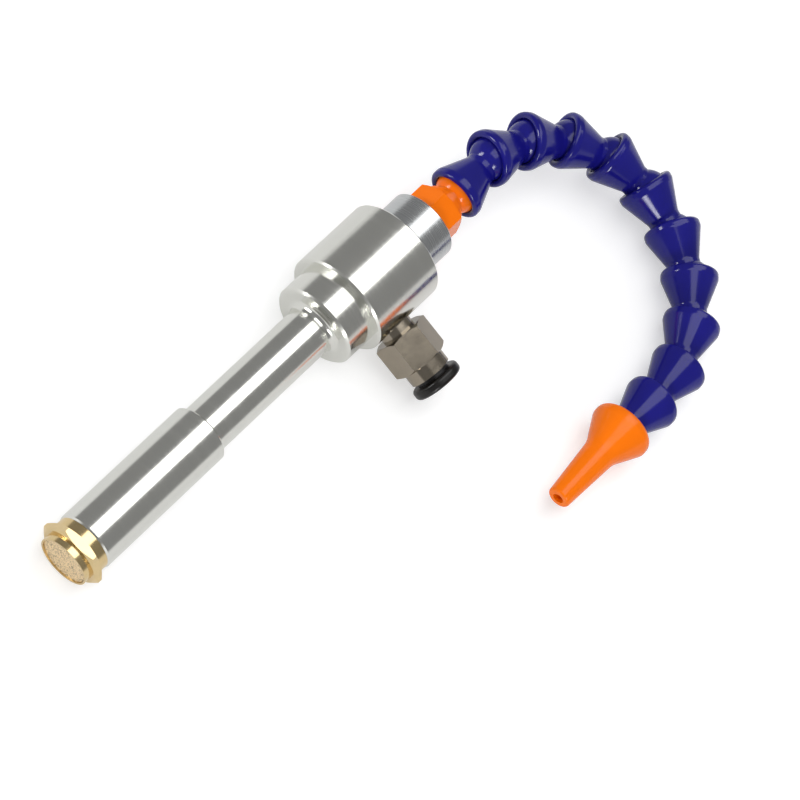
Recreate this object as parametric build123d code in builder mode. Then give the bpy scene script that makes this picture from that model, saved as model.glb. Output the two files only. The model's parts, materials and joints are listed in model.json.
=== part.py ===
"""Vortex spot cooler: a compressed-air vortex tube with a push-in inlet, a silenced hot end that screws
along the hot tube to set the cold fraction, and a flexible hose of ball-and-socket links with a nozzle.

The cooler lies on a level surface at Z = 0: the barrel's hot edge and a flat of the silencer's hexagon
carry the metal body, and the far links of the hose lie beside it. Along the body's axis, stations are
measured in millimetres from the point where the inlet's axis crosses it, positive towards the cold end.
"""

import os
from math import acos, asin, atan2, cos, degrees, pi, radians, sin, sqrt, tan

from build123d import *

# Where the body lies on the surface
BODY_X = 8.03
BODY_Y = 35.0
INLET_DROP = 11.8

# Barrel, flange and vortex chamber
BARREL_D = 30.0
BARREL_HOT = -9.3
BARREL_COLD = 14.6
BARREL_CHAMFER = 0.5
FLANGE_D = 24.7
FLANGE_HOT = -18.4
FLANGE_CHAMFER = 0.6
CHAMBER_D = 18.2
CHAMBER_HOT = -5.5
WEB_THICKNESS = 1.5
WEB_BORE_D = 10.0

# Hot tube and the raised fillet around it
HOT_TUBE_D = 14.0
HOT_TUBE_BORE_D = 9.2
HOT_TUBE_HOT = -92.8
SEAT_RING_D = 17.4
SEAT_RING_LENGTH = 1.7

# Generator that spins the air up
GENERATOR_D = 13.2
GENERATOR_FLANGE_HOT = 3.6
GENERATOR_FLANGE_COLD = 8.2
SWIRL_BORE_D = 9.2
SWIRL_DEPTH = 5.0
COLD_ORIFICE_D = 4.8
COLD_CONE_D = 7.6
COLD_CONE_DEPTH = 2.2
JET_COUNT = 6
JET_WIDTH = 1.2
JET_DEPTH = 1.6

# Cold cap
CAP_D = 20.2
CAP_COLD = 26.0
CAP_CHAMFER = 0.4
CAP_THREAD_D = 13.0
CAP_THREAD_DEPTH = 9.4
CAP_BORE_D = 7.6

# Round seals and their grooves
SEAL_SECTION = 1.6
SEAL_GROOVE_SLACK = 0.3
SLEEVE_SEAL_SECTION = 0.9

# End sleeve on the hot tube
SLEEVE_WALL = 1.47
SLEEVE_HOT = -105.7
SLEEVE_COLD = -62.1
SLEEVE_CHAMFER = 0.5
SLEEVE_THREAD_D = 13.2
SLEEVE_THREAD_DEPTH = 8.2
SLEEVE_SEAL_FROM_END = 2.4

# Cone that throttles the hot end
VALVE_BASE_LENGTH = 2.5
VALVE_LEDGE = 1.81
VALVE_TIP_D = 2.4
VALVE_CONE_LENGTH = 6.0
VALVE_HOLE_D = 1.6
VALVE_HOLE_COUNT = 6

# Silencer
MUFFLER_HEX_AF = 17.0
MUFFLER_HEX_LENGTH = 2.7
MUFFLER_COLLAR_D = 16.2
MUFFLER_COLLAR_LENGTH = 2.7
MUFFLER_CUP_D = 15.0
MUFFLER_CUP_LENGTH = 2.1
MUFFLER_BORE_D = 9.0
DISC_D = 13.9
DISC_THICKNESS = 2.8
DISC_SUNK = 0.3
HEX_CHAMFER_ANGLE = 30.0

# Push-in inlet, measured from the body's axis
INLET_THREAD_D = 9.73
INLET_INNER_END = 9.8
INLET_HEX_AF = 14.0
INLET_HEX_START = 16.7
INLET_HEX_END = 26.6
INLET_HEX_TURN = 20.0
INLET_COLLAR_D = 12.0
INLET_COLLAR_END = 30.3
INLET_BORE_D = 6.0
TUBE_STOP = 16.0
TUBE_SOCKET_D = 8.1
TUBE_SOCKET_END = 24.0
SEAL_CAVITY_D = 10.8
MOUTH_LIP_D = 10.2
MOUTH_LIP_LENGTH = 1.0
GRIP_THICKNESS = 0.8
GRIP_START = 25.9
GRIP_TOOTH_COUNT = 8
GRIP_SLOT_WIDTH = 0.8
GRIP_SLOT_DEPTH = 0.6

# Release ring
RING_D = 14.3
RING_THICKNESS = 2.9
RING_GAP = 1.2
RING_ROUND = 1.0
RING_BORE_D = 8.3
RING_SLEEVE_D = 9.9
RING_BEAD_D = 10.5
RING_BEAD_LENGTH = 0.6
RING_SLEEVE_LENGTH = 2.3

# Connector between the cap and the hose
CONNECTOR_HEX_AF = 14.0
CONNECTOR_HEX_LENGTH = 7.2
CONNECTOR_HEX_TURN = 18.0
CONNECTOR_SHOULDER_D = 11.8
CONNECTOR_SHOULDER_LENGTH = 1.6
CONNECTOR_THREAD_LENGTH = 8.6
CONNECTOR_LENGTH = 14.7

# Hose links
LINK_PITCH = 13.85
LINK_COUNT = 11
BALL_D = 12.4
BALL_CLEARANCE = 0.08
BALL_END = 4.3
NECK_D = 9.3
HOSE_BORE_D = 6.4
SWING = 24.6
RIM_D = 16.0
RIM_ROUND = 1.0
RIM_AHEAD = 1.4
RIM_WIDTH = 1.15
LIP_MARGIN = 0.08
MOUTH_MARGIN = 0.1
CONE_ANGLE = 21.2
CONE_ROUND = 2.0

# How the hose lies: the turn at each joint, which eases along the coil, and the slope of its first links
FIRST_TURNS = (-1.4, 16.8, 18.3)
COIL_TURN = 22.6
COIL_EASE = 0.8
COIL_JOINTS = 7
LAST_TURN = 7.1
NOZZLE_TURN = -3.8
FIRST_SLOPES = (7.0, -7.4, -12.0)
DESCENT_LINKS = 3

# Nozzle
NOZZLE_RIM_D = 17.6
NOZZLE_RIM_ROUND = 1.5
NOZZLE_WAIST_D = 9.4
NOZZLE_WAIST = 8.2
NOZZLE_WAIST_ROUND = 8.0
NOZZLE_TIP_D = 6.5
NOZZLE_LENGTH = 27.2
NOZZLE_TIP_ROUND = 0.7
NOZZLE_HOLE_D = 3.2
NOZZLE_HOLE_LENGTH = 4.0
NOZZLE_DIP = 1.0

# Radial clearances
SCREW_CLEARANCE = 0.02
SLIDE_CLEARANCE = 0.03

# The body leans on a flat of the silencer and on the hot edge of the barrel
MUFFLER_HEX_COLD = SLEEVE_HOT - MUFFLER_COLLAR_LENGTH
MUFFLER_HEX_HOT = MUFFLER_HEX_COLD - MUFFLER_HEX_LENGTH
BARREL_EDGE = BARREL_HOT + BARREL_CHAMFER
BODY_SLOPE = degrees(atan2((BARREL_D - MUFFLER_HEX_AF) / 2, BARREL_EDGE - MUFFLER_HEX_HOT))
BODY_HEIGHT = BARREL_D / 2 * cos(radians(BODY_SLOPE)) - BARREL_EDGE * sin(radians(BODY_SLOPE))
BODY_ORIGIN = Vector(BODY_X, BODY_Y, BODY_HEIGHT)
BODY_DIRECTION = Vector(cos(radians(BODY_SLOPE)), 0, sin(radians(BODY_SLOPE)))
BODY_AXIS = Axis(BODY_ORIGIN, BODY_DIRECTION)
BODY_SECTION = Plane(BODY_ORIGIN, x_dir=BODY_DIRECTION, z_dir=(0, -1, 0))
INLET_DIRECTION = Vector(0, -1, 0).rotate(Axis((0, 0, 0), BODY_DIRECTION), INLET_DROP)
INLET_AXIS = Axis(BODY_ORIGIN, INLET_DIRECTION)
INLET_SECTION = Plane(BODY_ORIGIN, x_dir=INLET_DIRECTION, z_dir=BODY_DIRECTION)


def body_cross_plane(station):
    """The plane square to the body's axis at a station."""
    return Plane(BODY_ORIGIN + BODY_DIRECTION * station, x_dir=(0, 1, 0), z_dir=BODY_DIRECTION)


def inlet_cross_plane(distance):
    """The plane square to the inlet's axis at a distance from the body's axis."""
    return Plane(BODY_ORIGIN + INLET_DIRECTION * distance, x_dir=BODY_DIRECTION, z_dir=INLET_DIRECTION)


def steps(*pairs):
    """Points of a turned outline, from pairs of a station and a diameter."""
    return [(station, diameter / 2) for station, diameter in pairs]


def turned_hexagon(plane, flats, length, turn):
    """A hexagon bar along a plane's normal, with its corners turned off at both ends."""
    corner_r = flats / cos(pi / 6) / 2
    drop = (corner_r - flats / 2) * tan(radians(HEX_CHAMFER_ANGLE))
    with BuildPart() as bar:
        with BuildSketch(plane):
            RegularPolygon(radius=flats / 2, side_count=6, major_radius=False, rotation=turn)
        extrude(amount=length)
        with BuildSketch(Plane(plane.origin, x_dir=plane.z_dir, z_dir=plane.x_dir)):
            with BuildLine():
                Polyline(
                    (0, 0),
                    (0, flats / 2),
                    (drop, corner_r),
                    (length - drop, corner_r),
                    (length, flats / 2),
                    (length, 0),
                    close=True,
                )
            make_face()
        revolve(axis=Axis(plane.origin, plane.z_dir), mode=Mode.INTERSECT)
    return bar.part


def finish(part, name):
    """Labels a finished piece and writes its file."""
    part.label = name
    export_step(part, f"parts/{name}.step")


def seal_ring(name, section, axis, station, inner_diameter, thickness=SEAL_SECTION):
    """A round seal whose section lies in a plane that holds the axis."""
    with BuildPart() as ring:
        with BuildSketch(section):
            with Locations((station, (inner_diameter + thickness) / 2)):
                Circle(thickness / 2)
        revolve(axis=axis)
    finish(ring.part, name)


os.makedirs("parts", exist_ok=True)

# Barrel with its hot flange, the vortex chamber and the threaded inlet hole
TUBE_SEAT_D = HOT_TUBE_D + 2 * SCREW_CLEARANCE
TUBE_COLD = CHAMBER_HOT - WEB_THICKNESS
with BuildPart() as housing:
    with BuildSketch(BODY_SECTION):
        with BuildLine():
            Polyline(
                *steps(
                    (FLANGE_HOT, TUBE_SEAT_D),
                    (FLANGE_HOT, FLANGE_D - 2 * FLANGE_CHAMFER),
                    (FLANGE_HOT + FLANGE_CHAMFER, FLANGE_D),
                    (BARREL_HOT, FLANGE_D),
                    (BARREL_HOT, BARREL_D - 2 * BARREL_CHAMFER),
                    (BARREL_EDGE, BARREL_D),
                    (BARREL_COLD - BARREL_CHAMFER, BARREL_D),
                    (BARREL_COLD, BARREL_D - 2 * BARREL_CHAMFER),
                    (BARREL_COLD, CHAMBER_D),
                    (CHAMBER_HOT, CHAMBER_D),
                    (CHAMBER_HOT, WEB_BORE_D),
                    (TUBE_COLD, WEB_BORE_D),
                    (TUBE_COLD, TUBE_SEAT_D),
                ),
                close=True,
            )
        make_face()
    revolve(axis=BODY_AXIS)
    with BuildSketch(inlet_cross_plane(CHAMBER_D / 4)):
        Circle(INLET_THREAD_D / 2 + SCREW_CLEARANCE)
    extrude(amount=BARREL_D, mode=Mode.SUBTRACT)
finish(housing.part, "housing")

# Hot tube, with the seat ring that meets the flange in a concave fillet
SEAT_RING_HOT = FLANGE_HOT - SEAT_RING_LENGTH
with BuildPart() as hot_tube:
    with BuildSketch(BODY_SECTION):
        with BuildLine():
            Polyline(
                *steps(
                    (SEAT_RING_HOT, HOT_TUBE_D),
                    (HOT_TUBE_HOT, HOT_TUBE_D),
                    (HOT_TUBE_HOT, HOT_TUBE_BORE_D),
                    (TUBE_COLD, HOT_TUBE_BORE_D),
                    (TUBE_COLD, HOT_TUBE_D),
                    (FLANGE_HOT, HOT_TUBE_D),
                    (FLANGE_HOT, SEAT_RING_D),
                )
            )
            EllipticalCenterArc(
                (SEAT_RING_HOT, SEAT_RING_D / 2),
                SEAT_RING_LENGTH,
                (SEAT_RING_D - HOT_TUBE_D) / 2,
                start_angle=270,
                arc_size=90,
            )
        make_face()
    revolve(axis=BODY_AXIS)
finish(hot_tube.part, "hot_tube")

# Generator: a slotted ring around the swirl bore, with the cold orifice through its flange
GENERATOR_FLANGE_D = CHAMBER_D - 2 * SCREW_CLEARANCE
GROOVE_LENGTH = SEAL_SECTION + SEAL_GROOVE_SLACK
GROOVE_D = CHAMBER_D - 2 * SEAL_SECTION
GENERATOR_GROOVE = (GENERATOR_FLANGE_HOT + GENERATOR_FLANGE_COLD - GROOVE_LENGTH) / 2
with BuildPart() as generator:
    with BuildSketch(BODY_SECTION):
        with BuildLine():
            Polyline(
                *steps(
                    (CHAMBER_HOT, SWIRL_BORE_D),
                    (CHAMBER_HOT, GENERATOR_D),
                    (GENERATOR_FLANGE_HOT, GENERATOR_D),
                    (GENERATOR_FLANGE_HOT, GENERATOR_FLANGE_D),
                    (GENERATOR_GROOVE, GENERATOR_FLANGE_D),
                    (GENERATOR_GROOVE, GROOVE_D),
                    (GENERATOR_GROOVE + GROOVE_LENGTH, GROOVE_D),
                    (GENERATOR_GROOVE + GROOVE_LENGTH, GENERATOR_FLANGE_D),
                    (GENERATOR_FLANGE_COLD, GENERATOR_FLANGE_D),
                    (GENERATOR_FLANGE_COLD, COLD_CONE_D),
                    (GENERATOR_FLANGE_COLD - COLD_CONE_DEPTH, COLD_ORIFICE_D),
                    (CHAMBER_HOT + SWIRL_DEPTH, COLD_ORIFICE_D),
                    (CHAMBER_HOT + SWIRL_DEPTH, SWIRL_BORE_D),
                ),
                close=True,
            )
        make_face()
    revolve(axis=BODY_AXIS)
    with BuildSketch(body_cross_plane(CHAMBER_HOT)):
        with PolarLocations(0, JET_COUNT):
            with Locations((GENERATOR_D / 2, (SWIRL_BORE_D - JET_WIDTH) / 2)):
                Rectangle(GENERATOR_D, JET_WIDTH)
    extrude(amount=JET_DEPTH, mode=Mode.SUBTRACT)
finish(generator.part, "vortex_generator")
seal_ring("generator_seal", BODY_SECTION, BODY_AXIS, GENERATOR_GROOVE + GROOVE_LENGTH / 2, GROOVE_D)

# Cold cap, screwed into the chamber behind the generator
CAP_GROOVE = BARREL_COLD - GROOVE_LENGTH
with BuildPart() as cold_cap:
    with BuildSketch(BODY_SECTION):
        with BuildLine():
            Polyline(
                *steps(
                    (GENERATOR_FLANGE_COLD, CAP_BORE_D),
                    (GENERATOR_FLANGE_COLD, GENERATOR_FLANGE_D),
                    (CAP_GROOVE, GENERATOR_FLANGE_D),
                    (CAP_GROOVE, GROOVE_D),
                    (BARREL_COLD, GROOVE_D),
                    (BARREL_COLD, CAP_D),
                    (CAP_COLD - CAP_CHAMFER, CAP_D),
                    (CAP_COLD, CAP_D - 2 * CAP_CHAMFER),
                    (CAP_COLD, CAP_THREAD_D),
                    (CAP_COLD - CAP_THREAD_DEPTH, CAP_THREAD_D),
                    (CAP_COLD - CAP_THREAD_DEPTH, CAP_BORE_D),
                ),
                close=True,
            )
        make_face()
    revolve(axis=BODY_AXIS)
finish(cold_cap.part, "cold_cap")
seal_ring("cap_seal", BODY_SECTION, BODY_AXIS, CAP_GROOVE + GROOVE_LENGTH / 2, GROOVE_D)

# End sleeve: it screws along the hot tube and carries the valve and the silencer
SLEEVE_BORE_D = HOT_TUBE_D + 2 * SLIDE_CLEARANCE
SLEEVE_D = SLEEVE_BORE_D + 2 * SLEEVE_WALL
SLEEVE_GROOVE_D = SLEEVE_BORE_D + 2 * SLEEVE_SEAL_SECTION + 2 * SLIDE_CLEARANCE
SLEEVE_GROOVE_COLD = SLEEVE_COLD - SLEEVE_SEAL_FROM_END
SLEEVE_GROOVE_HOT = SLEEVE_GROOVE_COLD - SLEEVE_SEAL_SECTION - SEAL_GROOVE_SLACK
SLEEVE_STEP = SLEEVE_HOT + SLEEVE_THREAD_DEPTH
with BuildPart() as end_sleeve:
    with BuildSketch(BODY_SECTION):
        with BuildLine():
            Polyline(
                *steps(
                    (SLEEVE_HOT, SLEEVE_THREAD_D),
                    (SLEEVE_HOT, SLEEVE_D - 2 * SLEEVE_CHAMFER),
                    (SLEEVE_HOT + SLEEVE_CHAMFER, SLEEVE_D),
                    (SLEEVE_COLD - SLEEVE_CHAMFER, SLEEVE_D),
                    (SLEEVE_COLD, SLEEVE_D - 2 * SLEEVE_CHAMFER),
                    (SLEEVE_COLD, SLEEVE_BORE_D),
                    (SLEEVE_GROOVE_COLD, SLEEVE_BORE_D),
                    (SLEEVE_GROOVE_COLD, SLEEVE_GROOVE_D),
                    (SLEEVE_GROOVE_HOT, SLEEVE_GROOVE_D),
                    (SLEEVE_GROOVE_HOT, SLEEVE_BORE_D),
                    (SLEEVE_STEP, SLEEVE_BORE_D),
                    (SLEEVE_STEP, SLEEVE_THREAD_D),
                ),
                close=True,
            )
        make_face()
    revolve(axis=BODY_AXIS)
finish(end_sleeve.part, "end_sleeve")
SLEEVE_SEAL = (SLEEVE_GROOVE_HOT + SLEEVE_GROOVE_COLD) / 2
seal_ring("sleeve_seal", BODY_SECTION, BODY_AXIS, SLEEVE_SEAL, SLEEVE_BORE_D, SLEEVE_SEAL_SECTION)

# Hot valve: a cone on a drilled base that seats against the step in the sleeve
VALVE_BASE_COLD = SLEEVE_STEP + VALVE_BASE_LENGTH
VALVE_BASE_D = SLEEVE_BORE_D - 2 * SCREW_CLEARANCE
VALVE_CONE_D = VALVE_BASE_D - 2 * VALVE_LEDGE
with BuildPart() as hot_valve:
    with BuildSketch(BODY_SECTION):
        with BuildLine():
            Polyline(
                *steps(
                    (SLEEVE_STEP, 0),
                    (SLEEVE_STEP, VALVE_BASE_D),
                    (VALVE_BASE_COLD, VALVE_BASE_D),
                    (VALVE_BASE_COLD, VALVE_CONE_D),
                    (VALVE_BASE_COLD + VALVE_CONE_LENGTH, VALVE_TIP_D),
                    (VALVE_BASE_COLD + VALVE_CONE_LENGTH, 0),
                ),
                close=True,
            )
        make_face()
    revolve(axis=BODY_AXIS)
    with BuildSketch(body_cross_plane(SLEEVE_STEP)):
        with PolarLocations((VALVE_CONE_D + VALVE_BASE_D) / 4, VALVE_HOLE_COUNT):
            Circle(VALVE_HOLE_D / 2)
    extrude(amount=VALVE_BASE_LENGTH, mode=Mode.SUBTRACT)
finish(hot_valve.part, "hot_valve")

# Silencer: a brass hexagon with a collar and thread behind it and a cup for the bronze disc in front
MUFFLER_THREAD_D = SLEEVE_THREAD_D - 2 * SCREW_CLEARANCE
MUFFLER_FRONT = MUFFLER_HEX_HOT - MUFFLER_CUP_LENGTH
DISC_SEAT_D = DISC_D + 2 * SCREW_CLEARANCE
DISC_FRONT = MUFFLER_FRONT + DISC_SUNK
DISC_BACK = DISC_FRONT + DISC_THICKNESS
muffler_hexagon = turned_hexagon(body_cross_plane(MUFFLER_HEX_HOT), MUFFLER_HEX_AF, MUFFLER_HEX_LENGTH, 0)
with BuildPart() as muffler_body:
    add(muffler_hexagon)
    with BuildSketch(BODY_SECTION):
        with BuildLine():
            Polyline(
                *steps(
                    (MUFFLER_FRONT, 0),
                    (MUFFLER_FRONT, MUFFLER_CUP_D),
                    (MUFFLER_HEX_HOT, MUFFLER_CUP_D),
                    (MUFFLER_HEX_COLD, MUFFLER_COLLAR_D),
                    (SLEEVE_HOT, MUFFLER_COLLAR_D),
                    (SLEEVE_HOT, MUFFLER_THREAD_D),
                    (SLEEVE_STEP, MUFFLER_THREAD_D),
                    (SLEEVE_STEP, 0),
                ),
                close=True,
            )
        make_face()
    revolve(axis=BODY_AXIS)
    with BuildSketch(BODY_SECTION):
        with BuildLine():
            Polyline(
                *steps(
                    (MUFFLER_FRONT, 0),
                    (MUFFLER_FRONT, DISC_SEAT_D),
                    (DISC_BACK, DISC_SEAT_D),
                    (DISC_BACK, MUFFLER_BORE_D),
                    (SLEEVE_STEP, MUFFLER_BORE_D),
                    (SLEEVE_STEP, 0),
                ),
                close=True,
            )
        make_face()
    revolve(axis=BODY_AXIS, mode=Mode.SUBTRACT)
finish(muffler_body.part, "muffler_body")

with BuildPart() as muffler_disc:
    with BuildSketch(body_cross_plane(DISC_FRONT)):
        Circle(DISC_D / 2)
    extrude(amount=DISC_THICKNESS)
finish(muffler_disc.part, "muffler_disc")

# Push-in inlet: threaded into the barrel, with a hexagon and a round collar
inlet_hexagon = turned_hexagon(
    inlet_cross_plane(INLET_HEX_START),
    INLET_HEX_AF,
    INLET_HEX_END - INLET_HEX_START,
    INLET_HEX_TURN,
)
with BuildPart() as inlet_fitting:
    add(inlet_hexagon)
    with BuildSketch(INLET_SECTION):
        with BuildLine():
            Polyline(
                *steps(
                    (INLET_INNER_END, 0),
                    (INLET_INNER_END, INLET_THREAD_D),
                    (INLET_HEX_START, INLET_THREAD_D),
                    (INLET_HEX_END, INLET_COLLAR_D),
                    (INLET_COLLAR_END, INLET_COLLAR_D),
                    (INLET_COLLAR_END, 0),
                ),
                close=True,
            )
        make_face()
    revolve(axis=INLET_AXIS)
    with BuildSketch(INLET_SECTION):
        with BuildLine():
            Polyline(
                *steps(
                    (INLET_INNER_END, 0),
                    (INLET_INNER_END, INLET_BORE_D),
                    (TUBE_STOP, INLET_BORE_D),
                    (TUBE_STOP, TUBE_SOCKET_D),
                    (TUBE_SOCKET_END, TUBE_SOCKET_D),
                    (TUBE_SOCKET_END, SEAL_CAVITY_D),
                    (INLET_COLLAR_END - MOUTH_LIP_LENGTH, SEAL_CAVITY_D),
                    (INLET_COLLAR_END - MOUTH_LIP_LENGTH, MOUTH_LIP_D),
                    (INLET_COLLAR_END, MOUTH_LIP_D),
                    (INLET_COLLAR_END, 0),
                ),
                close=True,
            )
        make_face()
    revolve(axis=INLET_AXIS, mode=Mode.SUBTRACT)
finish(inlet_fitting.part, "inlet_fitting")

# Seal around the supply tube, and the toothed ring that holds the tube
TUBE_SEAL_SECTION = (SEAL_CAVITY_D - RING_BORE_D) / 2
TUBE_SEAL = TUBE_SOCKET_END + TUBE_SEAL_SECTION / 2
seal_ring("tube_seal", INLET_SECTION, INLET_AXIS, TUBE_SEAL, RING_BORE_D, TUBE_SEAL_SECTION)
with BuildPart() as grip_ring:
    with BuildSketch(inlet_cross_plane(GRIP_START)):
        Circle(SEAL_CAVITY_D / 2 - SCREW_CLEARANCE)
        Circle(RING_BORE_D / 2, mode=Mode.SUBTRACT)
        with PolarLocations(RING_BORE_D / 2, GRIP_TOOTH_COUNT):
            Rectangle(2 * GRIP_SLOT_DEPTH, GRIP_SLOT_WIDTH, mode=Mode.SUBTRACT)
    extrude(amount=GRIP_THICKNESS)
finish(grip_ring.part, "grip_ring")

# Release ring: a flanged sleeve that is pushed in to spread the teeth
RING_START = INLET_COLLAR_END + RING_GAP
RING_END = RING_START + RING_THICKNESS
RING_SLEEVE_START = INLET_COLLAR_END - RING_SLEEVE_LENGTH
RING_BEAD_END = RING_SLEEVE_START + RING_BEAD_LENGTH
with BuildPart() as release_ring:
    with BuildSketch(INLET_SECTION):
        with BuildLine():
            Polyline(
                *steps(
                    (RING_SLEEVE_START, RING_BORE_D),
                    (RING_SLEEVE_START, RING_BEAD_D),
                    (RING_BEAD_END, RING_BEAD_D),
                    (RING_BEAD_END, RING_SLEEVE_D),
                    (RING_START, RING_SLEEVE_D),
                    (RING_START, RING_D),
                    (RING_END, RING_D),
                    (RING_END, RING_BORE_D),
                ),
                close=True,
            )
        make_face()
    revolve(axis=INLET_AXIS)
    fillet(release_ring.edges().filter_by(GeomType.CIRCLE).sort_by(SortBy.RADIUS)[-2:], RING_ROUND)
finish(release_ring.part, "release_ring")

# Outline shared by every socket and ball of the hose
SOCKET_R = BALL_D / 2 + BALL_CLEARANCE
SOCKET_BACK = sqrt(SOCKET_R**2 - (HOSE_BORE_D / 2) ** 2)
NECK_TO_BALL = sqrt((BALL_D / 2) ** 2 - (NECK_D / 2) ** 2)
BALL_END_R = sqrt((BALL_D / 2) ** 2 - BALL_END**2)
SWUNG_NECK = asin(NECK_D / BALL_D) + radians(SWING)
LIP_DEPTH = BALL_D / 2 * cos(SWUNG_NECK) - LIP_MARGIN
LIP_R = sqrt(SOCKET_R**2 - LIP_DEPTH**2)
SWUNG_SLOPE = tan(radians(SWING))
MOUTH_R = NECK_D / 2 / cos(radians(SWING)) + (RIM_AHEAD + RIM_ROUND) * SWUNG_SLOPE + MOUTH_MARGIN
RIM_BACK = RIM_WIDTH - RIM_AHEAD


def socket_and_rim(rim_r, rim_round):
    """The lines from the back of a socket forward over its lip and flared mouth to the back of its rim."""
    hub_r = rim_r - rim_round
    mouth = RIM_AHEAD + sqrt(rim_round**2 - (MOUTH_R - hub_r) ** 2)
    halfway = acos((MOUTH_R - hub_r) / rim_round) / 2
    on_rim = (-RIM_AHEAD - rim_round * sin(halfway), hub_r + rim_round * cos(halfway))
    ThreePointArc((SOCKET_BACK, HOSE_BORE_D / 2), (0, SOCKET_R), (-LIP_DEPTH, LIP_R))
    Line((-LIP_DEPTH, LIP_R), (-mouth, MOUTH_R))
    ThreePointArc((-mouth, MOUTH_R), on_rim, (-RIM_AHEAD, rim_r))
    Line((-RIM_AHEAD, rim_r), (RIM_BACK, rim_r))


def nearest_vertex(sketch, along, radius):
    """The corner of an outline that lies nearest to a point."""
    return sketch.vertices().sort_by_distance((along, radius, 0))[0]


def neck_and_ball(centre, start_x, end_x):
    """The lines from the start of a neck over the ball to the bore, and back along the bore."""
    Line((start_x, NECK_D / 2), (centre - NECK_TO_BALL, NECK_D / 2))
    ThreePointArc((centre - NECK_TO_BALL, NECK_D / 2), (centre, BALL_D / 2), (centre + BALL_END, BALL_END_R))
    Polyline((centre + BALL_END, BALL_END_R), (centre + BALL_END, HOSE_BORE_D / 2), (end_x, HOSE_BORE_D / 2))


# Connector: a male thread, a hexagon and the first ball
FIRST_BALL = CAP_COLD + CONNECTOR_LENGTH
CONNECTOR_START = CAP_COLD - CONNECTOR_THREAD_LENGTH
CONNECTOR_HEX_END = CAP_COLD + CONNECTOR_HEX_LENGTH
SHOULDER_END = CONNECTOR_HEX_END + CONNECTOR_SHOULDER_LENGTH
CONNECTOR_THREAD_D = CAP_THREAD_D - 2 * SCREW_CLEARANCE
connector_hexagon = turned_hexagon(
    body_cross_plane(CAP_COLD), CONNECTOR_HEX_AF, CONNECTOR_HEX_LENGTH, CONNECTOR_HEX_TURN
)
with BuildPart() as hose_connector:
    add(connector_hexagon)
    with BuildSketch(BODY_SECTION):
        with BuildLine():
            Polyline(
                *steps(
                    (CONNECTOR_START, HOSE_BORE_D),
                    (CONNECTOR_START, CONNECTOR_THREAD_D),
                    (CAP_COLD, CONNECTOR_THREAD_D),
                    (CAP_COLD, CONNECTOR_SHOULDER_D),
                    (SHOULDER_END, CONNECTOR_SHOULDER_D),
                    (SHOULDER_END, NECK_D),
                )
            )
            neck_and_ball(FIRST_BALL, SHOULDER_END, CONNECTOR_START)
        make_face()
    revolve(axis=BODY_AXIS)
    with BuildSketch(body_cross_plane(CONNECTOR_START)):
        Circle(HOSE_BORE_D / 2)
    extrude(amount=CONNECTOR_THREAD_LENGTH + CONNECTOR_HEX_LENGTH, mode=Mode.SUBTRACT)
finish(hose_connector.part, "hose_connector")


def heading(turned, slope):
    """The direction of a link that has turned clockwise from the body's axis and slopes upwards."""
    flat = cos(radians(slope))
    return Vector(flat * cos(radians(turned)), -flat * sin(radians(turned)), sin(radians(slope)))


def link_section(origin, direction):
    """The plane through a link's axis, with its length along X."""
    return Plane(origin, x_dir=direction, z_dir=direction.cross(Vector(0, 0, 1)))


# Turns and slopes of the links, and the joints between them
NOZZLE_REST = NOZZLE_RIM_D / 2 * cos(radians(NOZZLE_DIP)) + RIM_BACK * sin(radians(NOZZLE_DIP))
START_HEIGHT = BODY_HEIGHT + FIRST_BALL * sin(radians(BODY_SLOPE))
LEVEL_HEIGHT = (RIM_D / 2 * LINK_PITCH + RIM_AHEAD * NOZZLE_REST) / (LINK_PITCH + RIM_AHEAD)
REMAINING_DROP = START_HEIGHT - LEVEL_HEIGHT + LINK_PITCH * sum(sin(radians(slope)) for slope in FIRST_SLOPES)
DESCENT = -degrees(asin(REMAINING_DROP / DESCENT_LINKS / LINK_PITCH))
LAST_RISE = degrees(asin((NOZZLE_REST - LEVEL_HEIGHT) / LINK_PITCH))
LEVEL_LINKS = LINK_COUNT - len(FIRST_SLOPES) - DESCENT_LINKS - 1
turns = list(FIRST_TURNS) + [COIL_TURN - COIL_EASE * step for step in range(COIL_JOINTS)]
turns += [LAST_TURN] * (LINK_COUNT - len(turns))
slopes = list(FIRST_SLOPES) + [DESCENT] * DESCENT_LINKS + [0] * LEVEL_LINKS + [LAST_RISE]

# Hose links: a socket in front, a cone behind its rim, and the ball of the next joint
NECK_START = RIM_BACK + (RIM_D - NECK_D) / 2 / tan(radians(CONE_ANGLE))
joint = BODY_ORIGIN + BODY_DIRECTION * FIRST_BALL
turned = 0.0
for number in range(LINK_COUNT):
    turned += turns[number]
    direction = heading(turned, slopes[number])
    with BuildPart() as link:
        with BuildSketch(link_section(joint, direction)) as outline:
            with BuildLine():
                socket_and_rim(RIM_D / 2, RIM_ROUND)
                Line((RIM_BACK, RIM_D / 2), (NECK_START, NECK_D / 2))
                neck_and_ball(LINK_PITCH, NECK_START, SOCKET_BACK)
            make_face()
            fillet(nearest_vertex(outline, RIM_BACK, RIM_D / 2), CONE_ROUND)
            fillet(nearest_vertex(outline, NECK_START, NECK_D / 2), CONE_ROUND)
        revolve(axis=Axis(joint, direction))
    finish(link.part, f"hose_link_{number + 1:02d}")
    joint = joint + direction * LINK_PITCH

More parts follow.
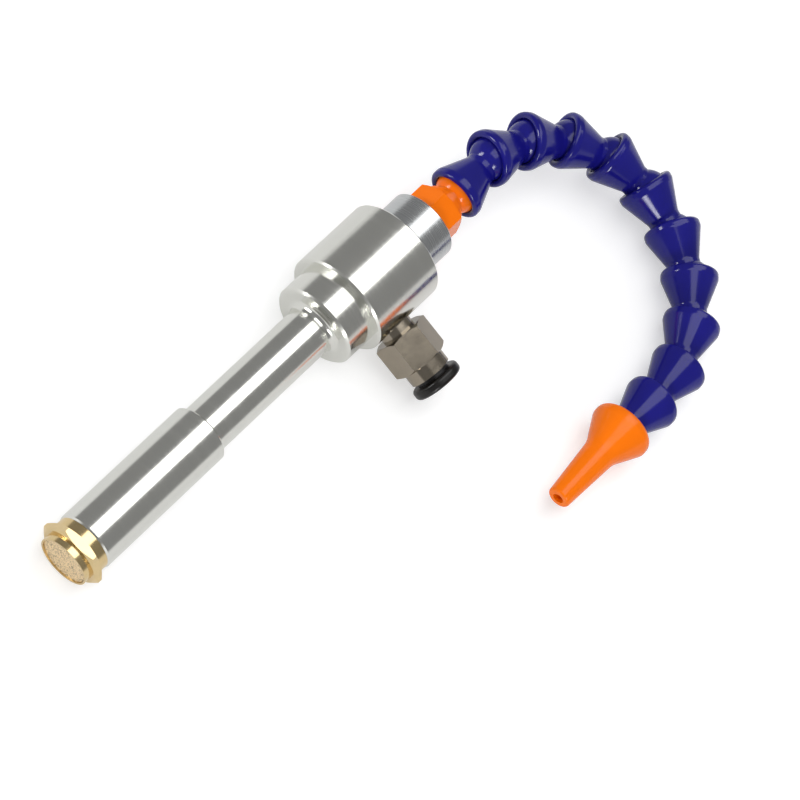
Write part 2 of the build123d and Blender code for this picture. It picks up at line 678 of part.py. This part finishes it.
# Nozzle: the same socket, a cone and a long taper to the outlet hole
turned += NOZZLE_TURN
direction = heading(turned, -NOZZLE_DIP)
with BuildPart() as nozzle:
    with BuildSketch(link_section(joint, direction)) as outline:
        with BuildLine():
            socket_and_rim(NOZZLE_RIM_D / 2, NOZZLE_RIM_ROUND)
            Polyline(
                (RIM_BACK, NOZZLE_RIM_D / 2),
                (NOZZLE_WAIST, NOZZLE_WAIST_D / 2),
                (NOZZLE_LENGTH, NOZZLE_TIP_D / 2),
                (NOZZLE_LENGTH, NOZZLE_HOLE_D / 2),
                (NOZZLE_LENGTH - NOZZLE_HOLE_LENGTH, NOZZLE_HOLE_D / 2),
                (NOZZLE_WAIST, HOSE_BORE_D / 2),
                (SOCKET_BACK, HOSE_BORE_D / 2),
            )
        make_face()
        fillet(nearest_vertex(outline, RIM_BACK, NOZZLE_RIM_D / 2), CONE_ROUND)
        fillet(nearest_vertex(outline, NOZZLE_WAIST, NOZZLE_WAIST_D / 2), NOZZLE_WAIST_ROUND)
        fillet(nearest_vertex(outline, NOZZLE_LENGTH, NOZZLE_TIP_D / 2), NOZZLE_TIP_ROUND)
    revolve(axis=Axis(joint, direction))
finish(nozzle.part, "nozzle")
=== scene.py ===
"""A vortex spot cooler on a pale table.

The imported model's turned metal, brass, nickel and moulded plastic are finished here, and the porous disc of
the silencer is modelled grain by grain over its plain solid.
"""

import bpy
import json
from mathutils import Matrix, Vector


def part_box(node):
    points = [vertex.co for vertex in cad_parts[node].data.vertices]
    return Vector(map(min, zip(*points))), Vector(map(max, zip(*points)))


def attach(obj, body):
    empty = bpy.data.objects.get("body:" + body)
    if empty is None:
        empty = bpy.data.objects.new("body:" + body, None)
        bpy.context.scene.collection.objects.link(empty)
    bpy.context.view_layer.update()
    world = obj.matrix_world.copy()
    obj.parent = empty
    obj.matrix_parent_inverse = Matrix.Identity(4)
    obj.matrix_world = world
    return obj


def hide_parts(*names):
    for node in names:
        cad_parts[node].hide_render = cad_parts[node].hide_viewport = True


bl_info = {
    "name": "Vortex spot cooler",
    "version": (1, 0, 0),
    "blender": (4, 5, 0),
    "location": "3D View > Sidebar > Spot Cooler",
    "description": "Finishes a vortex tube spot cooler and lays it on a pale table under soft light",
    "category": "Object",
}

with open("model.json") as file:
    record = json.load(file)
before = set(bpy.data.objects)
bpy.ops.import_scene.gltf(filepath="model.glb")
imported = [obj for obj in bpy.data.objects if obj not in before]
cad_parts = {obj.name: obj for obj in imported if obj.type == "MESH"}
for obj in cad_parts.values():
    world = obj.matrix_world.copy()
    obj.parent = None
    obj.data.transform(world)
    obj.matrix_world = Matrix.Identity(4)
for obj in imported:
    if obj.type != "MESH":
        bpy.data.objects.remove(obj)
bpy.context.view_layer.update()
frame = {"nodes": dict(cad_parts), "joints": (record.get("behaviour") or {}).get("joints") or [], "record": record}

import json
from math import radians

import bpy
from bpy.props import FloatProperty, FloatVectorProperty, PointerProperty
from mathutils import Matrix, Vector

MM = 0.001
NODES = frame["nodes"]
JOINTS = {joint["name"]: joint for joint in frame["joints"]}
PORT = frame["record"]["mounts"][0]

# The body's axis and the inlet's, as the joints and the tube port give them
BODY_AXIS = Vector(JOINTS["hot_end_turn"]["axis"])
BODY_POINT = Vector(JOINTS["hot_end_turn"]["pos_m"])
INLET_AXIS = Vector(PORT["axis"])
INLET_POINT = Vector(PORT["pos_m"])
LINKS = sorted(name for name in NODES if name.startswith("hose_link"))

# The tube port's point, measured along the inlet from the body's axis
PORT_FROM_AXIS = 20 * MM

# How turned metal varies: broad rings for each fine one, clouds for each metre, and its darkest shade
BROAD_RINGS = 0.12
CLOUDS = 90.0
WORN_SHADE = 0.90


def colour_property(name, description, default):
    """A colour that a user picks."""
    return FloatVectorProperty(
        name=name, description=description, subtype="COLOR", size=3, min=0, max=1, default=default
    )


def factor_property(name, description, default):
    """A share from 0 to 1."""
    return FloatProperty(name=name, description=description, subtype="FACTOR", min=0, max=1, default=default)


def length_property(name, description, default):
    """A length in metres."""
    return FloatProperty(
        name=name, description=description, unit="LENGTH", precision=5, min=0, default=default
    )


def angle_property(name, description, degrees):
    """An angle, given in degrees."""
    return FloatProperty(name=name, description=description, subtype="ANGLE", default=radians(degrees))


def power_property(name, description, default):
    """A lamp's power in watts."""
    return FloatProperty(name=name, description=description, min=0, default=default)


class SpotCoolerMetal(bpy.types.PropertyGroup):
    """Turned aluminium, brass, bronze, nickel and steel."""

    aluminium: colour_property(
        "Aluminium", "Colour of the turned body, tube and sleeve", (0.78, 0.78, 0.735)
    )
    cap_aluminium: colour_property("Cap aluminium", "Colour of the cold cap", (0.60, 0.615, 0.62))
    aluminium_roughness: factor_property("Aluminium roughness", "How far the turned metal blurs", 0.17)
    streaks: factor_property("Streaks", "How unevenly the barrel's and the cap's marks blur", 0.26)
    faint_streaks: factor_property("Faint streaks", "The same on the hot tube and the sleeve", 0.08)
    turning_pitch: length_property("Turning pitch", "Distance between turning marks", 0.35 * MM)
    turning_depth: length_property("Turning depth", "Depth of the turning marks", 0.004 * MM)
    brass: colour_property("Brass", "Colour of the silencer's body", (0.82, 0.63, 0.33))
    brass_roughness: factor_property("Brass roughness", "How far the brass blurs", 0.17)
    bronze: colour_property("Bronze", "Colour of the porous disc", (0.97, 0.76, 0.47))
    grain: length_property("Grain", "Size of the porous disc's grains", 0.42 * MM)
    grain_height: length_property("Grain height", "How far the grains stand up", 0.16 * MM)
    nickel: colour_property("Nickel", "Colour of the inlet's plating", (0.36, 0.315, 0.25))
    nickel_roughness: factor_property("Nickel roughness", "How far the plating blurs", 0.13)
    steel: colour_property("Steel", "Colour of the toothed ring", (0.55, 0.55, 0.54))
    steel_roughness: factor_property("Steel roughness", "How far the toothed ring blurs", 0.25)


class SpotCoolerPlastic(bpy.types.PropertyGroup):
    """Moulded plastic and rubber."""

    blue: colour_property("Blue", "Colour of the hose links", (0.010, 0.009, 0.215))
    orange: colour_property("Orange", "Colour of the connector and nozzle", (1.0, 0.19, 0.0))
    plastic_roughness: factor_property("Roughness", "How far the moulded plastic blurs", 0.13)
    plastic_gloss: factor_property("Gloss", "How much the hose mirrors, half being plain plastic", 0.34)
    black: colour_property("Black", "Colour of the release ring", (0.006, 0.005, 0.004))
    black_roughness: factor_property("Black roughness", "How far the release ring blurs", 0.30)
    rubber: colour_property("Rubber", "Colour of the seals", (0.015, 0.015, 0.015))
    rubber_roughness: factor_property("Rubber roughness", "How far the seals blur", 0.55)
    generator: colour_property("Generator", "Colour of the vortex generator", (0.75, 0.73, 0.68))
    generator_roughness: factor_property("Generator roughness", "How far the generator blurs", 0.40)


class SpotCoolerStage(bpy.types.PropertyGroup):
    """Table, light and camera."""

    table_size: length_property("Table size", "Side of the table", 8.0)
    table_albedo: factor_property("Table albedo", "How much light the table gives back", 0.62)
    table_lift: factor_property("Table lift", "What is added to the table's white as it is seen", 0.52)
    mirror_lift: factor_property("Mirror lift", "What is added where metal mirrors the table", 0.24)
    room: factor_property("Room", "Grey of the room overhead", 0.27)
    horizon: factor_property("Horizon", "Grey of the room at the height of the table", 0.95)
    horizon_height: factor_property("Horizon height", "Where the room is as dark as overhead", 0.10)
    box_light: power_property("Soft box", "Power of the soft box", 10.5)
    box_length: length_property("Soft box length", "Size of the soft box along the body", 1.75)
    box_width: length_property("Soft box width", "Size of the soft box across the body", 0.80)
    box_height: length_property("Soft box height", "Height of the soft box over the table", 1.1)
    box_shift: factor_property("Soft box shift", "How many heights it hangs towards the cold end", 0.38)
    strip_light: power_property("Strip lamps", "Power of each upright lamp", 5.0)
    strip_width: length_property("Strip width", "Width of each upright lamp", 0.2)
    strip_length: length_property("Strip length", "Height of each upright lamp", 0.5)
    strip_distance: length_property("Strip distance", "How far each upright lamp stands away", 1.15)
    strip_rise: angle_property("Strip rise", "Height of the upright lamps over the table", 14)
    left_strip: angle_property("Left strip", "Direction of the left upright lamp, from +X", 128)
    right_strip: angle_property("Right strip", "Direction of the right upright lamp, from +X", -134)
    frame_width: FloatProperty(name="Frame", description="Width of the frame in millimetres", default=36.0)
    lens: FloatProperty(name="Lens", description="Focal length in millimetres", min=1, default=171.9)


class Value:
    """A number or colour that varies over a surface. On numbers, Python's operators add Math nodes."""

    def __init__(self, surface, node, output=0):
        self.surface = surface
        self.node = node
        self.socket = node.outputs[output] if node.outputs else None

    def out(self, name):
        """Another output of the same node."""
        return Value(self.surface, self.node, name)

    def math(self, operation, first, second=0.0):
        """A Math node on two numbers."""
        return self.surface.node("Math", {"operation": operation}, {0: first, 1: second})

    def __add__(self, other):
        return self.math("ADD", self, other)

    def __radd__(self, other):
        return self.math("ADD", other, self)

    def __sub__(self, other):
        return self.math("SUBTRACT", self, other)

    def __rsub__(self, other):
        return self.math("SUBTRACT", other, self)

    def __mul__(self, other):
        return self.math("MULTIPLY", self, other)

    def __rmul__(self, other):
        return self.math("MULTIPLY", other, self)

    def __pow__(self, other):
        return self.math("POWER", self, other)

    def __rpow__(self, other):
        return self.math("POWER", other, self)


class Surface:
    """The node tree of one finish, or of the world."""

    def __init__(self, owner):
        owner.use_nodes = True
        self.owner = owner
        self.tree = owner.node_tree
        self.tree.nodes.clear()

    def node(self, kind, settings=(), inputs=()):
        """Adds a node: its settings are set first, then its sockets get their values or links."""
        node = self.tree.nodes.new("ShaderNode" + kind)
        for name, value in dict(settings).items():
            if name == "stops":
                ramp = node.color_ramp
                for number, (place, grey) in enumerate(value):
                    stop = ramp.elements[number] if number < 2 else ramp.elements.new(place)
                    stop.position = place
                    stop.color = (grey, grey, grey, 1)
            else:
                setattr(node, name, value)
        for name, value in dict(inputs).items():
            if isinstance(value, Value):
                self.tree.links.new(value.socket, node.inputs[name])
            else:
                node.inputs[name].default_value = value
        return Value(self, node)


def rgba(colour):
    """A colour with full alpha."""
    return (*colour, 1.0)


def new_surface(name):
    """An empty material and the surface that builds it."""
    return Surface(bpy.data.materials.new(name))


def along(surface, point, axis):
    """Object coordinates whose X runs along an axis from a point of it."""
    place = surface.node("TexCoord").out("Object")
    turn = Vector(axis).to_track_quat("X", "Z").to_euler()
    sockets = {"Vector": place, "Location": tuple(point), "Rotation": tuple(turn)}
    return surface.node("Mapping", {"vector_type": "TEXTURE"}, sockets)


def from_centre(surface, local):
    """The place along the X axis of local coordinates, and the distance from that axis."""
    parts = surface.node("SeparateXYZ", {}, {"Vector": local})
    across = (parts.out("Y") ** 2.0 + parts.out("Z") ** 2.0) ** 0.5
    return parts.out("X"), across


def noise(surface, place, scale, detail=2.0, roughness=0.5):
    """Smooth noise from 0 to 1, along one dimension, W, or about a Vector."""
    dimensions = "1D" if "W" in place else "3D"
    sockets = {**place, "Scale": scale, "Detail": detail, "Roughness": roughness}
    return surface.node("TexNoise", {"noise_dimensions": dimensions}, sockets).out("Fac")


def shaded(surface, colour_a, colour_b, factor):
    """A mix of two colours."""
    sockets = {"Factor": factor, "A": rgba(colour_a), "B": rgba(colour_b)}
    return surface.node("Mix", {"data_type": "RGBA"}, sockets).out("Result")


def bumped(surface, height, distance, strength=1.0):
    """A normal pushed by a height."""
    return surface.node("Bump", {}, {"Height": height, "Distance": distance, "Strength": strength})


def finished(surface, inputs):
    """Ends a finish with its shader and gives the material."""
    shader = surface.node("BsdfPrincipled", {}, inputs)
    surface.node("OutputMaterial", {}, {"Surface": shader})
    return surface.owner


def darker(colour, share):
    """A colour scaled down."""
    return tuple(channel * share for channel in colour)


def turned_metal(name, colour, roughness, pitch, depth, streaks):
    """Lathe-turned metal: fine rings round the body's axis, on the faces as on the walls."""
    surface = new_surface(name)
    local = along(surface, BODY_POINT, BODY_AXIS)
    station, across = from_centre(surface, local)
    rings = station + across
    fine = noise(surface, {"W": rings}, 1.0 / pitch, 3.0, 0.7)
    broad = noise(surface, {"W": rings}, BROAD_RINGS / pitch)
    clouds = noise(surface, {"Vector": local}, CLOUDS, 4.0, 0.6) - 0.5
    tint = shaded(surface, darker(colour, WORN_SHADE), colour, 0.55 * fine + 0.45 * broad + 0.25 * clouds)
    rough = roughness + streaks * (fine - 0.45) + 0.06 * (broad - 0.5) + 0.05 * clouds
    normal = bumped(surface, fine, depth)
    return finished(surface, {"Base Color": tint, "Metallic": 1.0, "Roughness": rough, "Normal": normal})


def plated_metal(name, colour, roughness, spots, depth):
    """Bright plated or milled metal with a faint unevenness."""
    surface = new_surface(name)
    place = surface.node("TexCoord").out("Object")
    uneven = noise(surface, {"Vector": place}, spots, 4.0, 0.6)
    tint = shaded(surface, darker(colour, 0.86), colour, 1.6 * (uneven - 0.3))
    rough = roughness - 0.05 + 0.12 * uneven
    normal = bumped(surface, uneven, depth)
    return finished(surface, {"Base Color": tint, "Metallic": 1.0, "Roughness": rough, "Normal": normal})


def grained_bronze(name, colour, grain):
    """Sintered bronze: rounded grains in the bronze's own colour, with painted shade darkening the gaps between
    them.
    """
    surface = new_surface(name)
    place = surface.node("TexCoord").out("Object")
    sockets = {"Vector": place, "Scale": 1.0 / grain, "Randomness": 1.0}
    gaps = surface.node("TexVoronoi", {"feature": "F1"}, sockets).out("Distance")
    speckle = noise(surface, {"Vector": place}, 1.4 / grain)
    # Painted shade: the colour darkens towards the gaps between grains; the speckle is random tone
    tint = shaded(surface, colour, darker(colour, 0.32), 1.5 * (gaps - 0.32) + 0.9 * (speckle - 0.5))
    rough = 0.34 + 0.3 * gaps
    normal = bumped(surface, 1.0 - gaps, 0.35 * grain, 0.7)
    return finished(surface, {"Base Color": tint, "Metallic": 0.55, "Roughness": rough, "Normal": normal})


def moulded_plastic(name, colour, roughness, gloss=0.5, shade=0.82, ripple=0.012 * MM):
    """Moulded plastic with a gloss skin, slightly uneven in colour and in level."""
    surface = new_surface(name)
    place = surface.node("TexCoord").out("Object")
    broad = noise(surface, {"Vector": place}, 110.0, 3.0)
    fine = noise(surface, {"Vector": place}, 1600.0)
    tint = shaded(surface, darker(colour, shade), colour, 1.5 * (broad - 0.2))
    rough = roughness - 0.06 + 0.10 * broad + 0.04 * fine
    normal = bumped(surface, broad + 0.05 * fine, ripple)
    skin = {"Base Color": tint, "Roughness": rough, "Normal": normal}
    return finished(surface, {**skin, "IOR": 1.5, "Specular IOR Level": gloss})


def wear_finish(material, *names):
    """Gives CAD nodes one material."""
    for name in names:
        slots = NODES[name].data.materials
        if len(slots) == 0:
            slots.append(material)
        for number in range(len(slots)):
            slots[number] = material


def deselect():
    """Leaves edit mode and clears the selection."""
    if bpy.context.object and bpy.context.object.mode != "OBJECT":
        bpy.ops.object.mode_set(mode="OBJECT")
    bpy.ops.object.select_all(action="DESELECT")


def only(obj):
    """Selects one object and makes it active."""
    deselect()
    obj.select_set(True)
    bpy.context.view_layer.objects.active = obj


def settle(obj):
    """Puts a piece's place into its mesh."""
    only(obj)
    bpy.ops.object.transform_apply(location=True, rotation=True, scale=True)


class SPOTCOOLER_OT_metal(bpy.types.Operator):
    """Finish the turned aluminium of the barrel, hot tube, sleeve and cold cap"""

    bl_idname = "spotcooler.metal"
    bl_label = "Turned Metal"

    def execute(self, context):
        metal = context.scene.spot_cooler_metal
        plain, blurred = metal.aluminium_roughness, 1.35 * metal.aluminium_roughness
        pitch, depth = metal.turning_pitch, metal.turning_depth
        coarse, even = metal.streaks, metal.faint_streaks
        barrel = turned_metal("barrel_aluminium", metal.aluminium, plain, 1.6 * pitch, 1.5 * depth, coarse)
        tube = turned_metal("tube_aluminium", metal.aluminium, plain, pitch, depth, even)
        sleeve = turned_metal("sleeve_aluminium", metal.aluminium, plain, 0.7 * pitch, 0.6 * depth, even)
        cap = turned_metal("cap_aluminium", metal.cap_aluminium, blurred, pitch, 1.5 * depth, coarse)
        wear_finish(barrel, "housing")
        wear_finish(tube, "hot_tube")
        wear_finish(sleeve, "end_sleeve")
        wear_finish(cap, "cold_cap")
        return {"FINISHED"}


class SPOTCOOLER_OT_silencer(bpy.types.Operator):
    """Finish the silencer's brass body and model the grains of its porous disc"""

    bl_idname = "spotcooler.silencer"
    bl_label = "Silencer"

    def execute(self, context):
        metal = context.scene.spot_cooler_metal
        brass = plated_metal(
            "silencer_brass", metal.brass, metal.brass_roughness, spots=320.0, depth=0.01 * MM
        )
        wear_finish(brass, "muffler_body", "hot_valve")
        low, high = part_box("muffler_disc")
        centre = (Vector(low) + Vector(high)) / 2
        size = Vector(high) - Vector(low)
        width = size.y
        thickness = (size.x - width * abs(BODY_AXIS.z)) / abs(BODY_AXIS.x)
        deselect()
        bpy.ops.mesh.primitive_cylinder_add(vertices=96, radius=width / 2, depth=thickness)
        disc = bpy.context.object
        disc.name = "porous_disc"
        remesh = disc.modifiers.new("Grid", "REMESH")
        remesh.mode = "VOXEL"
        remesh.voxel_size = 0.3 * metal.grain
        bpy.ops.object.modifier_apply(modifier=remesh.name)
        grains = bpy.data.textures.new("grains", "VORONOI")
        grains.noise_scale = metal.grain
        grains.noise_intensity = 1.2
        push = disc.modifiers.new("Grains", "DISPLACE")
        push.texture = grains
        push.texture_coords = "LOCAL"
        push.direction = "Z"
        push.mid_level = 0.0
        push.strength = metal.grain_height
        bpy.ops.object.modifier_apply(modifier=push.name)
        bpy.ops.object.shade_smooth()
        turn = BODY_AXIS.to_track_quat("Z", "Y").to_matrix().to_4x4()
        disc.matrix_world = Matrix.Translation(centre) @ turn
        settle(disc)
        disc.data.materials.append(grained_bronze("porous_bronze", metal.bronze, metal.grain))
        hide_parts("muffler_disc")
        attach(disc, "hot_end")
        return {"FINISHED"}


class SPOTCOOLER_OT_inlet(bpy.types.Operator):
    """Finish the plated inlet, its toothed ring and the black release ring"""

    bl_idname = "spotcooler.inlet"
    bl_label = "Push-in Inlet"

    def execute(self, context):
        metal = context.scene.spot_cooler_metal
        plastic = context.scene.spot_cooler_plastic
        nickel = plated_metal(
            "nickel_plate", metal.nickel, metal.nickel_roughness, spots=260.0, depth=0.008 * MM
        )
        steel = plated_metal(
            "spring_steel", metal.steel, metal.steel_roughness, spots=400.0, depth=0.004 * MM
        )
        black = moulded_plastic(
            "black_plastic", plastic.black, plastic.black_roughness, gloss=0.4, shade=0.6, ripple=0.02 * MM
        )
        wear_finish(nickel, "inlet_fitting")
        wear_finish(steel, "grip_ring")
        wear_finish(black, "release_ring")
        return {"FINISHED"}


class SPOTCOOLER_OT_inside(bpy.types.Operator):
    """Finish the seals and the generator inside the body"""

    bl_idname = "spotcooler.inside"
    bl_label = "Seals and Generator"

    def execute(self, context):
        plastic = context.scene.spot_cooler_plastic
        rubber = moulded_plastic("seal_rubber", plastic.rubber, plastic.rubber_roughness, shade=0.7)
        generator = moulded_plastic("generator_plastic", plastic.generator, plastic.generator_roughness)
        wear_finish(rubber, "generator_seal", "cap_seal", "sleeve_seal", "tube_seal")
        wear_finish(generator, "vortex_generator")
        return {"FINISHED"}


class SPOTCOOLER_OT_hose(bpy.types.Operator):
    """Finish the blue links of the hose, and its orange connector and nozzle"""

    bl_idname = "spotcooler.hose"
    bl_label = "Hose"

    def execute(self, context):
        plastic = context.scene.spot_cooler_plastic
        roughness, gloss = plastic.plastic_roughness, plastic.plastic_gloss
        blue = moulded_plastic("blue_plastic", plastic.blue, roughness, gloss, shade=0.75)
        orange = moulded_plastic("orange_plastic", plastic.orange, roughness + 0.04, 0.8 * gloss, shade=0.94)
        wear_finish(blue, *LINKS)
        wear_finish(orange, "hose_connector", "nozzle")
        return {"FINISHED"}


class SPOTCOOLER_OT_stage(bpy.types.Operator):
    """Lay the table, hang the soft box, stand the upright lamps and set the camera"""

    bl_idname = "spotcooler.stage"
    bl_label = "Table, Light and Camera"

    def table(self, stage):
        """A plain pale table that looks white and keeps a faint shadow."""
        deselect()
        bpy.ops.mesh.primitive_plane_add(size=stage.table_size)
        table = bpy.context.object
        table.name = "table"
        surface = new_surface("table_white")
        path = surface.node("LightPath")
        seen = (path.out("Is Camera Ray") + path.out("Is Transmission Ray")) * stage.table_lift
        lift = seen + path.out("Is Glossy Ray") * stage.mirror_lift
        paint = surface.node("BsdfDiffuse", {}, {"Color": rgba([stage.table_albedo] * 3)})
        glow = surface.node("Emission", {}, {"Color": rgba([1.0] * 3), "Strength": lift})
        both = surface.node("AddShader", {}, {0: paint, 1: glow})
        surface.node("OutputMaterial", {}, {"Surface": both})
        table.data.materials.append(surface.owner)

    def room(self, stage):
        """A grey room overhead that pales towards the table."""
        world = bpy.data.worlds.new("room")
        bpy.context.scene.world = world
        surface = Surface(world)
        direction = surface.node("TexCoord").out("Generated")
        height = surface.node("SeparateXYZ", {}, {"Vector": direction}).out("Z")
        stops = ((0.0, stage.horizon), (stage.horizon_height, stage.room), (1.0, stage.room))
        grey = surface.node("ValToRGB", {"stops": stops}, {"Fac": height})
        sky = surface.node("Background", {}, {"Color": grey, "Strength": 1.0})
        surface.node("OutputWorld", {}, {"Surface": sky})

    def lamp(self, name, power, length, width, place, target):
        """A rectangular soft lamp of a length and a width, aimed at a point and unseen itself."""
        light = bpy.data.lights.new(name, "AREA")
        light.shape = "RECTANGLE"
        light.size = length
        light.size_y = width
        light.energy = power
        lamp = bpy.data.objects.new(name, light)
        bpy.context.scene.collection.objects.link(lamp)
        lamp.location = place
        lamp.rotation_euler = (Vector(place) - Vector(target)).to_track_quat("Z", "Y").to_euler()
        lamp.visible_camera = False

    def camera(self, stage):
        """The photograph's camera: about a metre away, over the hot end."""
        optics = bpy.data.cameras.new("camera")
        optics.sensor_width = stage.frame_width
        optics.lens = stage.lens
        camera = bpy.data.objects.new("camera", optics)
        bpy.context.scene.collection.objects.link(camera)
        right = Vector((0.62473875, -0.69423323, 0.35740974))
        up = Vector((0.60460239, 0.71974418, 0.34121000))
        back = Vector((-0.49412290, 0.00292368, 0.86938715))
        turn = Matrix((right, up, back)).transposed().to_4x4()
        crossing = INLET_POINT - INLET_AXIS * PORT_FROM_AXIS
        offset = Vector((-0.50590, -0.02640, 0.86279))
        camera.matrix_world = Matrix.Translation(crossing + offset) @ turn
        bpy.context.scene.camera = camera

    def execute(self, context):
        stage = context.scene.spot_cooler_stage
        self.table(stage)
        self.room(stage)
        under = Vector((stage.box_shift * stage.box_height, 0, 0))
        over = under + Vector((0, 0, stage.box_height))
        self.lamp("soft_box", stage.box_light, stage.box_length, stage.box_width, over, under)
        rise = Matrix.Rotation(-stage.strip_rise, 3, "Y")
        for name, azimuth in (("left_strip", stage.left_strip), ("right_strip", stage.right_strip)):
            place = Matrix.Rotation(azimuth, 3, "Z") @ rise @ Vector((stage.strip_distance, 0, 0))
            self.lamp(name, stage.strip_light, stage.strip_width, stage.strip_length, place, (0, 0, 0))
        self.camera(stage)
        context.scene.view_settings.view_transform = "Standard"
        return {"FINISHED"}


class SPOTCOOLER_PT_panel(bpy.types.Panel):
    """Lists the cooler's pieces and its stage"""

    bl_idname = "SPOTCOOLER_PT_panel"
    bl_label = "Spot Cooler"
    bl_space_type = "VIEW_3D"
    bl_region_type = "UI"
    bl_category = "Spot Cooler"

    def draw(self, context):
        for step in STEPS:
            self.layout.operator(step.bl_idname)
        for name, _ in GROUPS:
            group = getattr(context.scene, name)
            box = self.layout.box()
            for setting in group.__annotations__:
                box.prop(group, setting)


GROUPS = (
    ("spot_cooler_metal", SpotCoolerMetal),
    ("spot_cooler_plastic", SpotCoolerPlastic),
    ("spot_cooler_stage", SpotCoolerStage),
)
STEPS = (
    SPOTCOOLER_OT_metal,
    SPOTCOOLER_OT_silencer,
    SPOTCOOLER_OT_inlet,
    SPOTCOOLER_OT_inside,
    SPOTCOOLER_OT_hose,
    SPOTCOOLER_OT_stage,
)


def register():
    """Registers the settings, the operators and the panel."""
    for name, group in GROUPS:
        bpy.utils.register_class(group)
        setattr(bpy.types.Scene, name, PointerProperty(type=group))
    for step in STEPS:
        bpy.utils.register_class(step)
    bpy.utils.register_class(SPOTCOOLER_PT_panel)


def unregister():
    """Takes everything out again, last things first."""
    bpy.utils.unregister_class(SPOTCOOLER_PT_panel)
    for step in reversed(STEPS):
        bpy.utils.unregister_class(step)
    for name, group in reversed(GROUPS):
        delattr(bpy.types.Scene, name)
        bpy.utils.unregister_class(group)


def main():
    """Builds the whole scene."""
    register()
    bpy.ops.spotcooler.metal()
    bpy.ops.spotcooler.silencer()
    bpy.ops.spotcooler.inlet()
    bpy.ops.spotcooler.inside()
    bpy.ops.spotcooler.hose()
    bpy.ops.spotcooler.stage()


if __name__ == "__main__":
    main()
